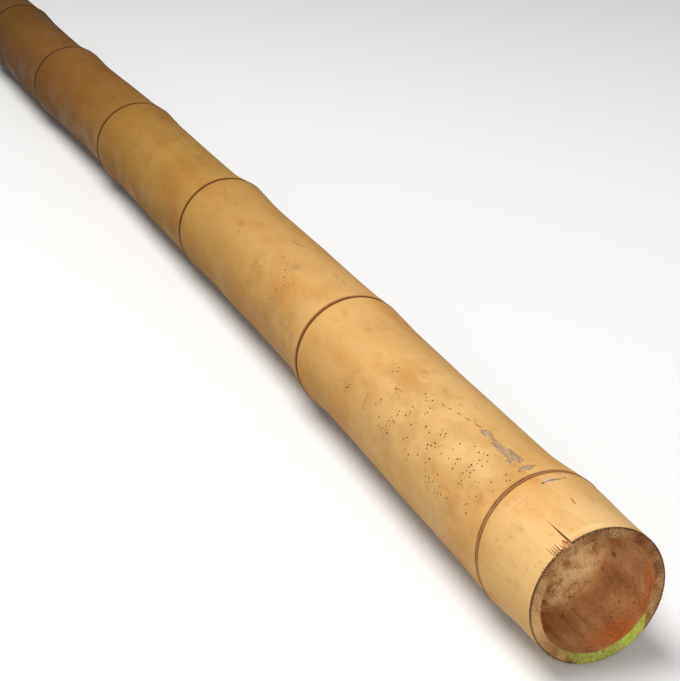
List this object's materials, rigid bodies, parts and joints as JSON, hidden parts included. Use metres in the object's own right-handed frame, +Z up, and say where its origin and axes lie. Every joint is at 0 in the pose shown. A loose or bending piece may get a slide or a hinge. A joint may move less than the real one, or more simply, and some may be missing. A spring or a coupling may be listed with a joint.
{
  "type": "bamboo cane",
  "caption": "Straight hollow bamboo cane with raised nodes, sawn at both ends, lying on its side; a pole for framing, fencing or edging.",
  "frame": {"origin": "middle of the bottom of the cane's box, on the surface that the cane lies on", "axes": "+X along the cane towards its thick butt end, +Z up, +Y to the side that the cane bows towards"},
  "size_m": [2.0052, 0.1024, 0.0945],
  "materials": {
    "dried_bamboo": "dry, waxy satin skin with stains and beetle holes; rough sawn ends"
  },
  "bodies": {
    "root": {"bamboo_cane": "dried_bamboo"}
  },
  "joints": []
}
